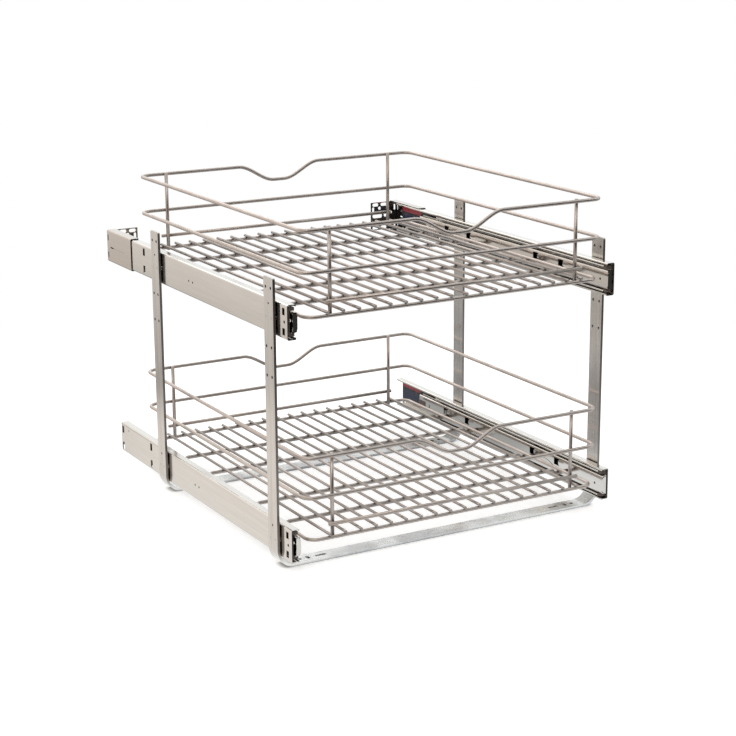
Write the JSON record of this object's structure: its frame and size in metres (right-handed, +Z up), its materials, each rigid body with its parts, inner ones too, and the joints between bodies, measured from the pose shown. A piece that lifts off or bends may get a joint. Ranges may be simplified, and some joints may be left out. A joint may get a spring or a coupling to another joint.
{
  "type": "pull-out cabinet basket",
  "caption": "Two-tier pull-out wire basket for a base cabinet: welded wire baskets run on ball-bearing slides that hang between U-shaped flat bars.",
  "frame": {"origin": "on the cabinet floor, at the centre of the four round floor screw holes, midway between the front and rear bars and between the two sides", "axes": "+X to the right and +Z up when looking at the front, front of the baskets towards -Y, so the baskets pull out along -Y"},
  "size_m": [0.508, 0.5844, 0.4451],
  "materials": {
    "zinc_bar": "bright zinc plate, faint grain along the bar",
    "slide_steel": "bright zinc plate on cold-rolled sheet",
    "nickel_wire": "satin nickel plate, warm grey",
    "ball_steel": "polished steel",
    "cage_steel": "greased zinc plate",
    "screw_steel": "zinc-plated countersunk screw",
    "black_plastic": "moulded, fine texture",
    "label_film": "printed film sticker, left without text"
  },
  "bodies": {
    "frame": {"front_u_frame": "zinc_bar", "rear_u_frame": "zinc_bar", "upper_left_cabinet_member": "slide_steel", "upper_right_cabinet_member": "slide_steel", "lower_left_cabinet_member": "slide_steel", "lower_right_cabinet_member": "slide_steel", "upper_slide_screws": "screw_steel", "lower_slide_screws": "screw_steel", "slide_labels": "label_film"},
    "upper_basket": {"upper_basket_top_wire": "nickel_wire", "upper_basket_middle_wire": "nickel_wire", "upper_basket_bottom_wire": "nickel_wire", "upper_basket_end_wires": "nickel_wire", "upper_basket_posts": "nickel_wire", "upper_basket_floor_wires": "nickel_wire", "upper_basket_cross_wires": "nickel_wire", "upper_left_drawer_member": "slide_steel", "upper_right_drawer_member": "slide_steel", "upper_left_rear_catch": "black_plastic", "upper_right_rear_catch": "black_plastic"},
    "upper_left_intermediate": {"upper_left_intermediate": "slide_steel", "upper_left_front_buffer": "black_plastic"},
    "upper_left_outer_cage": {"upper_left_outer_cage": "cage_steel", "upper_left_outer_balls": "ball_steel"},
    "upper_left_inner_cage": {"upper_left_inner_cages": "cage_steel", "upper_left_inner_balls": "ball_steel"},
    "upper_right_intermediate": {"upper_right_intermediate": "slide_steel", "upper_right_front_buffer": "black_plastic"},
    "upper_right_outer_cage": {"upper_right_outer_cage": "cage_steel", "upper_right_outer_balls": "ball_steel"},
    "upper_right_inner_cage": {"upper_right_inner_cages": "cage_steel", "upper_right_inner_balls": "ball_steel"},
    "lower_basket": {"lower_basket_top_wire": "nickel_wire", "lower_basket_middle_wire": "nickel_wire", "lower_basket_bottom_wire": "nickel_wire", "lower_basket_end_wires": "nickel_wire", "lower_basket_posts": "nickel_wire", "lower_basket_floor_wires": "nickel_wire", "lower_basket_cross_wires": "nickel_wire", "lower_left_drawer_member": "slide_steel", "lower_right_drawer_member": "slide_steel", "lower_left_rear_catch": "black_plastic", "lower_right_rear_catch": "black_plastic"},
    "lower_left_intermediate": {"lower_left_intermediate": "slide_steel", "lower_left_front_buffer": "black_plastic"},
    "lower_left_outer_cage": {"lower_left_outer_cage": "cage_steel", "lower_left_outer_balls": "ball_steel"},
    "lower_left_inner_cage": {"lower_left_inner_cages": "cage_steel", "lower_left_inner_balls": "ball_steel"},
    "lower_right_intermediate": {"lower_right_intermediate": "slide_steel", "lower_right_front_buffer": "black_plastic"},
    "lower_right_outer_cage": {"lower_right_outer_cage": "cage_steel", "lower_right_outer_balls": "ball_steel"},
    "lower_right_inner_cage": {"lower_right_inner_cages": "cage_steel", "lower_right_inner_balls": "ball_steel"},
    "upper_left_bracket": {"upper_left_rear_bracket": "slide_steel"},
    "upper_right_bracket": {"upper_right_rear_bracket": "slide_steel"}
  },
  "joints": [
    {"name": "upper_basket_slide", "type": "slide", "parent": "frame", "child": "upper_basket", "axis": [0, -1, 0], "range_m": [0, 0.54]},
    {"name": "upper_left_intermediate_slide", "type": "slide", "parent": "frame", "child": "upper_left_intermediate", "axis": [0, -1, 0], "range_m": [0, 0.27]},
    {"name": "upper_left_outer_cage_slide", "type": "slide", "parent": "frame", "child": "upper_left_outer_cage", "axis": [0, -1, 0], "range_m": [0, 0.135]},
    {"name": "upper_left_inner_cage_slide", "type": "slide", "parent": "frame", "child": "upper_left_inner_cage", "axis": [0, -1, 0], "range_m": [0, 0.405]},
    {"name": "upper_right_intermediate_slide", "type": "slide", "parent": "frame", "child": "upper_right_intermediate", "axis": [0, -1, 0], "range_m": [0, 0.27]},
    {"name": "upper_right_outer_cage_slide", "type": "slide", "parent": "frame", "child": "upper_right_outer_cage", "axis": [0, -1, 0], "range_m": [0, 0.135]},
    {"name": "upper_right_inner_cage_slide", "type": "slide", "parent": "frame", "child": "upper_right_inner_cage", "axis": [0, -1, 0], "range_m": [0, 0.405]},
    {"name": "lower_basket_slide", "type": "slide", "parent": "frame", "child": "lower_basket", "axis": [0, -1, 0], "range_m": [0, 0.54]},
    {"name": "lower_left_intermediate_slide", "type": "slide", "parent": "frame", "child": "lower_left_intermediate", "axis": [0, -1, 0], "range_m": [0, 0.27]},
    {"name": "lower_left_outer_cage_slide", "type": "slide", "parent": "frame", "child": "lower_left_outer_cage", "axis": [0, -1, 0], "range_m": [0, 0.135]},
    {"name": "lower_left_inner_cage_slide", "type": "slide", "parent": "frame", "child": "lower_left_inner_cage", "axis": [0, -1, 0], "range_m": [0, 0.405]},
    {"name": "lower_right_intermediate_slide", "type": "slide", "parent": "frame", "child": "lower_right_intermediate", "axis": [0, -1, 0], "range_m": [0, 0.27]},
    {"name": "lower_right_outer_cage_slide", "type": "slide", "parent": "frame", "child": "lower_right_outer_cage", "axis": [0, -1, 0], "range_m": [0, 0.135]},
    {"name": "lower_right_inner_cage_slide", "type": "slide", "parent": "frame", "child": "lower_right_inner_cage", "axis": [0, -1, 0], "range_m": [0, 0.405]},
    {"name": "upper_left_bracket_depth", "type": "slide", "parent": "frame", "child": "upper_left_bracket", "axis": [0, 1, 0], "range_m": [0, 0.03]},
    {"name": "upper_right_bracket_depth", "type": "slide", "parent": "frame", "child": "upper_right_bracket", "axis": [0, 1, 0], "range_m": [0, 0.03]}
  ],
  "couplings": [
    {"joint": "upper_left_intermediate_slide", "follows": "upper_basket_slide", "ratio": 0.5},
    {"joint": "upper_left_outer_cage_slide", "follows": "upper_basket_slide", "ratio": 0.25},
    {"joint": "upper_left_inner_cage_slide", "follows": "upper_basket_slide", "ratio": 0.75},
    {"joint": "upper_right_intermediate_slide", "follows": "upper_basket_slide", "ratio": 0.5},
    {"joint": "upper_right_outer_cage_slide", "follows": "upper_basket_slide", "ratio": 0.25},
    {"joint": "upper_right_inner_cage_slide", "follows": "upper_basket_slide", "ratio": 0.75},
    {"joint": "lower_left_intermediate_slide", "follows": "lower_basket_slide", "ratio": 0.5},
    {"joint": "lower_left_outer_cage_slide", "follows": "lower_basket_slide", "ratio": 0.25},
    {"joint": "lower_left_inner_cage_slide", "follows": "lower_basket_slide", "ratio": 0.75},
    {"joint": "lower_right_intermediate_slide", "follows": "lower_basket_slide", "ratio": 0.5},
    {"joint": "lower_right_outer_cage_slide", "follows": "lower_basket_slide", "ratio": 0.25},
    {"joint": "lower_right_inner_cage_slide", "follows": "lower_basket_slide", "ratio": 0.75}
  ]
}
